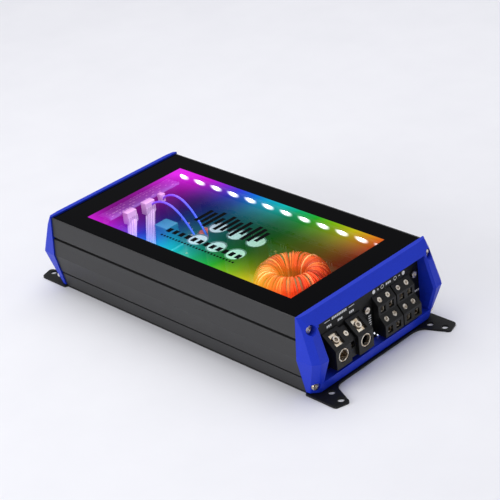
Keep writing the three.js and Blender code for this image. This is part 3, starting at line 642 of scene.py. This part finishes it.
acrylic_window = inside_window(acrylic_x, window_low[0], window_high[0]).least(
    inside_window(acrylic_y, window_low[1], window_high[1]))
acrylic_face = acrylic_z > top_face - 0.4 * mm
# The window's rainbow is painted light. It is laid on as emission, not as the sheet's own colour.
along = (acrylic_x - acrylic_y * 0.17).spread(-100 * mm, 104 * mm)
painted_rainbow_light = acrylic.node("ShaderNodeValToRGB", {"stops": [
    (0.00, tone("d026d8")), (0.13, tone("c414d0")), (0.22, tone("8a2ce0")), (0.29, tone("3c44f0")),
    (0.36, tone("1878f0")), (0.43, tone("12b4e0")), (0.51, tone("14c8c0")), (0.58, tone("10b070")),
    (0.66, tone("28b828")), (0.74, tone("90cc14")), (0.82, tone("d0c818")), (0.89, tone("e89c20")),
    (0.95, tone("ee6420")), (1.00, tone("ea3c14"))]}, {0: along})
# The painted light sits on an even base and grows brighter towards both long sides and towards the low
# x end on the +y side.
painted_rim_light = (abs(acrylic_y) / mm).spread(8.0, 46.0)
painted_end_light = (acrylic_x / mm).spread(-98.0, -48.0, 1.0, 0.0) * (acrylic_y / mm).spread(-30.0, 20.0)
painted_window_light = 0.34 + painted_rim_light * painted_rim_light * 1.9 + painted_end_light * 1.3
print_x, print_y = acrylic_x / mm, acrylic_y / mm


def printed_bars(left, right, pitch, share, middle, height):
    """A row of upright bars printed on the sheet, all in millimetres."""
    across = (print_x - left) / pitch
    bar = across.through("FRACT") < share
    return bar * (abs(print_y - middle) < height) * (print_x > left) * (print_x < right)


bars_left, bars_pitch = -30.0, 5.2
bar_number = ((print_x - bars_left) / bars_pitch).through("FLOOR")
bar_height = 4.0 + abs((bar_number * 1.9 + 0.7).through("SINE")) * 7.5
level_bars = printed_bars(bars_left, 32.4, bars_pitch, 0.64, 2.5, bar_height)
wide_dashes = printed_bars(-35.0, 37.0, 6.1, 0.64, -26.0, 2.6)
fine_dashes = printed_bars(-34.0, 37.6, 2.9, 0.6, -33.6, 0.9)
acrylic_print = level_bars.most(wide_dashes).most(fine_dashes)
# Random patches make the painted light uneven.
painted_light_patches = acrylic.noise(22.0).spread(0.3, 0.7, 0.8, 1.15)
acrylic.put("Base Color", tone("040405"))
acrylic.put("Emission Color", acrylic.mix(
    acrylic_window * acrylic_face * (1.0 - acrylic_print) * painted_window_light * painted_light_patches / window_light_strength,
    tone("000000"), painted_rainbow_light))
acrylic.put("Alpha", 1.0 - acrylic_window + acrylic_window * acrylic_face * acrylic_print.most(0.42))
softened("top_panel", acrylic, "clear_top_sheet", 0.25)

# ---- end frames -------------------------------------------------------------------------------
# Cast aluminium, faceted and anodised blue, one at each end. Each stands a little proud of the
# body, is screwed to the rails at its four corners, and frames the recessed panel.
blue_anodising = Finish("blue_anodising", metallic=0.0, specular_ior_level=0.22)
blue_cloud = blue_anodising.noise(12.0, detail=4.0)
blue_speckle = blue_anodising.noise(1300.0, detail=2.0)
blue_anodising.put("Base Color", blue_anodising.mix(
    blue_cloud * 0.6 + blue_speckle * 0.4, tone("142aa6"), tone("1e3cd4")))
blue_rough = (blue_cloud * 0.5 + blue_speckle * 0.5).spread(0.3, 0.7, 0.34, 0.46)
blue_anodising.put("Roughness", blue_rough)
blue_anodising.bump(blue_speckle, 0.00003)
for end in ("output", "input"):
    softened(end + "_end_frame", blue_anodising, "blue_anodised_frame", 0.45, angle=30, crease=8,
             keep_round=Vector((1, 0, 0)))

# ---- machine screws ---------------------------------------------------------------------------
# Nickel-plated steel pan screws with a six-sided socket, four in each frame and two in the
# terminal panel.
nickel = Finish("nickel_plate", metallic=1.0)
nickel_streak = nickel.noise(900.0, detail=3.0)
nickel_cloud = nickel.noise(420.0, detail=1.0).spread(0.36, 0.6)
# The plating's colour and roughness cloud at random between a brown and a near white.
nickel_patches = nickel_streak * 0.5 + nickel_cloud * 0.5
nickel.put("Base Color", nickel.mix(nickel_patches, tone("8a7458"), tone("fffaf0")))
nickel.put("Roughness", nickel_patches.spread(0.3, 0.7, 0.2, 0.36))
nickel.bump(nickel_streak, 0.00002)
for end in ("output", "input"):
    for level in ("upper", "lower"):
        for side in ("left", "right"):
            softened(f"{end}_frame_screw_{level}_{side}", nickel, "nickel_screw", 0.3)
for place in ("centre", "right"):
    softened("output_panel_screw_" + place, nickel, "nickel_screw", 0.3)

# ---- terminal panel ---------------------------------------------------------------------------
# A black painted sheet behind the frame, cut out round each terminal. White marks are printed
# over the poles and on the signal panel, and two tiny status lamps sit low beside the supply pole.
panel_paint = coated("panel_paint", "050505", "0c0d0c", 0.42, grain=1500.0, depth=0.00003,
                     specular_ior_level=0.25)
softened("output_panel", panel_paint, "black_panel_sheet", 0.15)
panel_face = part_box("output_panel")[1].x / mm
print_ink = coated("print_ink", "dcdcda", "f6f6f4", 0.5, grain=2500.0, depth=0.00001)
ink = 0.06
marks = bmesh.new()


def mark(y, z, width, height, turn=0.0, x=panel_face):
    """One printed dash on an end panel, in millimetres."""
    dash = box_at(marks, (x, -width / 2, -height / 2), (x + ink, width / 2, height / 2))
    bmesh.ops.rotate(marks, verts=dash, cent=(0, 0, 0), matrix=Matrix.Rotation(turn, 3, "X"))
    bmesh.ops.translate(marks, verts=dash, vec=(0, y * mm, z * mm))


def dashes(y, z, pitch, count, width, height, x=panel_face):
    """A row of printed dashes, which takes the place of a word. Its middle is at y."""
    for step in range(count):
        mark(y + (step - (count - 1) / 2) * pitch, z, width, height, x=x)


def ring_mark(y, z, filled, radius=1.45, line=0.35):
    """One printed dot or ring on the terminal panel, in millimetres."""
    made = bmesh.ops.create_cone(marks, cap_ends=True, segments=20, radius1=radius * mm,
                                 radius2=radius * mm, depth=ink * mm)["verts"]
    bmesh.ops.rotate(marks, verts=made, cent=(0, 0, 0), matrix=Matrix.Rotation(math.pi / 2, 3, "Y"))
    bmesh.ops.translate(marks, verts=made, vec=((panel_face + ink / 2) * mm, y * mm, z * mm))
    if not filled:
        faces = [f for f in {f for v in made for f in v.link_faces} if abs(f.normal.x) > 0.9]
        bmesh.ops.inset_region(marks, faces=faces, thickness=line * mm, depth=0)
        bmesh.ops.delete(marks, geom=faces, context="FACES")


# Over the heavy poles: a heading between two lines, and a word for each pole.
dashes(-26.0, 44.4, 1.6, 9, 1.2, 1.7)
for y in (-37.4, -14.2):
    mark(y, 44.4, 5.2, 0.45)
for y in (-36.1, -25.6, -14.6):
    dashes(y, 40.5, 1.6, 3, 1.2, 1.6)
# Over the speaker poles: a heading, the polarity marks, and a word between them.
dashes(22.2, 47.4, 1.7, 9, 1.3, 1.5)
for y, filled in ((7.7, True), (16.1, False), (29.1, False), (37.5, True)):
    ring_mark(y, 43.8, filled)
for y in (11.9, 33.3):
    mark(y, 43.8, 1.5, 0.5)
mark(11.9, 43.8, 0.5, 1.5)
dashes(22.2, 43.8, 1.8, 3, 1.3, 1.6)
# Beside the supply pole a column of dashes, and a short word by the right edge.
for step in range(5):
    mark(2.0, 28.6 - step * 1.7, 2.6, 0.8)
dashes(49.0, 24.4, 1.6, 4, 1.1, 1.3)
# On the signal panel: a scale and a word for each control, and a word over each switch and jack
# pair, under two long lines.
rear_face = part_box("input_panel")[0].x / mm - ink
controls = [f"{row}_{use}_control" for use in ("gain", "crossover") for row in ("front", "rear")]
for name in controls:
    low, high = (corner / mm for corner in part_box(name))
    middle_y, middle_z = (low.y + high.y) / 2, (low.z + high.z) / 2
    reach = (high.y - low.y) / 2 + 1.8
    for step in range(-4, 5):
        turn = math.radians(step * 37.5)
        mark(middle_y + reach * math.sin(turn), middle_z + reach * math.cos(turn), 0.35, 1.0,
             -turn, rear_face)
    dashes(middle_y, middle_z - reach - 1.6, 1.5, 3, 1.1, 1.0, rear_face)
for row in ("front", "rear"):
    low, high = (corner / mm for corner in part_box(row + "_filter_switch"))
    dashes((low.y + high.y) / 2, high.z + 2.6, 1.7, 7, 1.2, 1.1, rear_face)
for number in (1, 2):
    low, high = (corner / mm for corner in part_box(f"phono_jack_pair_{number}"))
    dashes((low.y + high.y) / 2, high.z + 1.2, 1.6, 5, 1.1, 1.2, rear_face)
mark(-28.0, 47.6, 30, 0.35, x=rear_face)
mark(12.0, 47.6, 42, 0.35, x=rear_face)
finished(marks, "panel_marks", [print_ink], "chassis", "black_panel_sheet")

status_glow = Finish("status_glow", roughness=0.3, emission_strength=2.0)
status_glow.put("Base Color", tone("e8f2ff"))
status_glow.put("Emission Color", status_glow.mix(
    status_glow.noise(400.0) * 0.3, tone("ffffff"), tone("9fc4ff")))
status = bmesh.new()
for y, z in ((5.2, 13.6), (8.1, 11.1)):
    dot = bmesh.ops.create_uvsphere(status, u_segments=12, v_segments=8, radius=0.6 * mm)["verts"]
    bmesh.ops.translate(status, verts=dot, vec=(panel_face * mm, y * mm, z * mm))
finished(status, "status_lamps", [status_glow], "chassis", "black_panel_sheet")

# ---- power terminals --------------------------------------------------------------------------
# Each heavy pole is a moulded black housing round a nickel-plated brass clamp. A socket screw in
# the sloped face drives a pad down on the cable. The remote pole between them is a small one.
moulding = coated("terminal_moulding", "101010", "1c1c1b", 0.4, grain=1700.0, depth=0.00004,
                  cloud=60.0, specular_ior_level=0.3)
plated_brass = Finish("plated_brass", metallic=0.8)
plated_cloud = plated_brass.noise(380.0, detail=1.0).spread(0.38, 0.62)
plated_turn = plated_brass.noise(900.0, vector=plated_brass.scaled(0.1, 1, 1))
plated_brass.put("Base Color", plated_brass.mix(
    plated_cloud * 0.6 + plated_turn * 0.4, tone("8c6c40"), tone("fff8e8")))
plated_rough = (plated_cloud * 0.5 + plated_turn * 0.5).spread(0.3, 0.7, 0.16, 0.32)
plated_brass.put("Roughness", plated_rough)
plated_brass.bump(plated_turn, 0.00003)
for label in ("ground", "supply"):
    softened(label + "_terminal_housing", moulding, "terminal_plastic", 0.5, segments=3)
    softened(label + "_clamp_block", plated_brass, "nickel_brass", 0.3)
    softened(label + "_clamp_screw", nickel, "nickel_screw", 0.25)
    softened(label + "_pressure_pad", plated_brass, "nickel_brass", 0.2)
softened("remote_terminal_housing", moulding, "terminal_plastic", 0.4, segments=3)
softened("remote_terminal_screw", nickel, "nickel_screw", 0.25)

# ---- speaker terminals ------------------------------------------------------------------------
# Two stepped mouldings of four poles. Each pole has a captive screw over a square wire entry, and
# a bent plated cage that the screw draws up stands just inside the entry.
for side in ("left", "right"):
    softened(f"speaker_terminal_housing_{side}", moulding, "terminal_plastic", 0.4, segments=3)
for level in ("upper", "lower"):
    for number in range(1, 5):
        softened(f"speaker_screw_{level}_{number}", nickel, "nickel_screw", 0.25)
cages = bmesh.new()
cage_depth, half_entry, cage_sheet = 1.4, 2.2, 0.5
for side in ("left", "right"):
    low, high = (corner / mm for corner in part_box(f"speaker_terminal_housing_{side}"))
    middle = (low.y + high.y) / 2
    for face, entry in ((high.x, 17.8), (high.x - 5.1, 31.6)):
        back, front, bottom = face - 7, face - cage_depth, entry - half_entry
        for y in (middle - 4.1, middle + 4.1):
            box_at(cages, (back, y - 2.1, bottom), (front, y + 2.1, bottom + cage_sheet))
            for near, far in ((y - 2.1, y - 1.65), (y + 1.65, y + 2.1)):
                box_at(cages, (back, near, bottom), (front, far, entry + half_entry))
low, high = (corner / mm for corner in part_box("remote_terminal_housing"))
middle, front, bottom = (low.y + high.y) / 2, high.x - cage_depth, low.z + 6.9
box_at(cages, (front - 5.4, middle - 2.05, bottom), (front, middle + 2.05, bottom + cage_sheet))
finished(rounded(cages, 0.12), "wire_cages", [plated_brass], "chassis", "nickel_brass")

# ---- signal panel -----------------------------------------------------------------------------
# The input end: two twin phono jacks with turned shells, four screwdriver controls and two slide
# switches behind a black painted sheet.
softened("input_panel", panel_paint, "black_panel_sheet", 0.15)
jack_red = coated("jack_red", "8e1414", "b42020", 0.35, grain=1300.0)
shell_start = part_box("input_panel")[0].x - 1.2 * mm
for number in (1, 2):
    node = f"phono_jack_pair_{number}"
    low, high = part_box(node)
    jacks = rounded(solid_copy(node), 0.25)
    for face in jacks.faces:
        if face.calc_center_median().x < shell_start:
            face.material_index = 1
    ends = [f for f in jacks.faces
            if f.normal.x < -0.98 and f.calc_center_median().x < low.x + 0.05 * mm]
    bmesh.ops.inset_region(jacks, faces=ends, thickness=0.55 * mm, depth=0)
    bmesh.ops.translate(jacks, verts=list({v for f in ends for v in f.verts}), vec=(0.5 * mm, 0, 0))
    for face in ends:
        face.material_index = 2 if face.calc_center_median().z < (low.z + high.z) / 2 else 3
    finished(jacks, f"phono_jacks_{number}", [moulding, nickel, jack_red, plug_white], "chassis",
             "terminal_plastic", [node])
knob_moulding = coated("knob_moulding", "3a3a3c", "565658", 0.45, grain=1500.0)
for name in controls:
    softened(name, knob_moulding, "control_grey", 0.3)
for row in ("front", "rear"):
    softened(row + "_filter_switch", plug_white, "switch_white", 0.25)

# ---- floor and light --------------------------------------------------------------------------
# A plain pale floor under broad soft lamps, and a pale surround. Six faint lamps just under the
# window, each in the colour of the painted rainbow above it, light the parts inside.
paper = coated("floor_paper", "e8e8ed", "f1f1f5", 0.8, grain=40.0, depth=0.0)
floor = bmesh.new()
bmesh.ops.create_grid(floor, x_segments=1, y_segments=1, size=6.0)
floor_mesh = bpy.data.meshes.new("floor")
floor.to_mesh(floor_mesh)
floor.free()
floor_piece = bpy.data.objects.new("floor", floor_mesh)
floor_mesh.materials.append(paper.material)
bpy.context.scene.collection.objects.link(floor_piece)


def softbox(name, spot, aim, width, height, power, colour=(1, 1, 1)):
    """A soft rectangular lamp at a point, facing another."""
    lamp = bpy.data.lights.new(name, "AREA")
    lamp.shape = "RECTANGLE"
    lamp.size, lamp.size_y = width, height
    lamp.energy, lamp.color = power, colour
    holder = bpy.data.objects.new(name, lamp)
    holder.location = spot
    holder.rotation_euler = (Vector(aim) - Vector(spot)).to_track_quat("-Z", "Y").to_euler()
    bpy.context.scene.collection.objects.link(holder)


softbox("key", (-0.35, -1.3, 0.5), (0, 0, 0.03), 0.9, 0.6, 10)
softbox("overhead", (-0.2, 0.2, 1.5), (0, 0, 0), 1.6, 1.6, 18)
softbox("reflector", (0.72, 0.85, 0.95), (0.12, 0, 0.03), 0.5, 0.5, 0.8)
softbox("front_fill", (1.3, 0.1, 0.1), (0.12, 0, 0.03), 0.5, 0.3, 1.2)
wash_tints = ((1, 0.6, 1), (0.75, 0.85, 1), (0.6, 1, 1), (0.7, 1, 0.75), (1, 0.9, 0.65), (1, 0.8, 0.7))
wash_height = 0.0545
for number, tint in enumerate(wash_tints):
    x = (-84 + number * 33.5) * mm
    softbox(f"window_wash_{number}", (x, 0, wash_height), (x, 0, 0), 0.033, 0.09, 0.03, tint)
world = bpy.data.worlds.new("surround")
world.use_nodes = True
surround = world.node_tree.nodes["Background"].inputs
surround["Color"].default_value = (0.93, 0.94, 1.0, 1)
surround["Strength"].default_value = 0.36
bpy.context.scene.world = world
bpy.context.scene.view_settings.view_transform = "Standard"
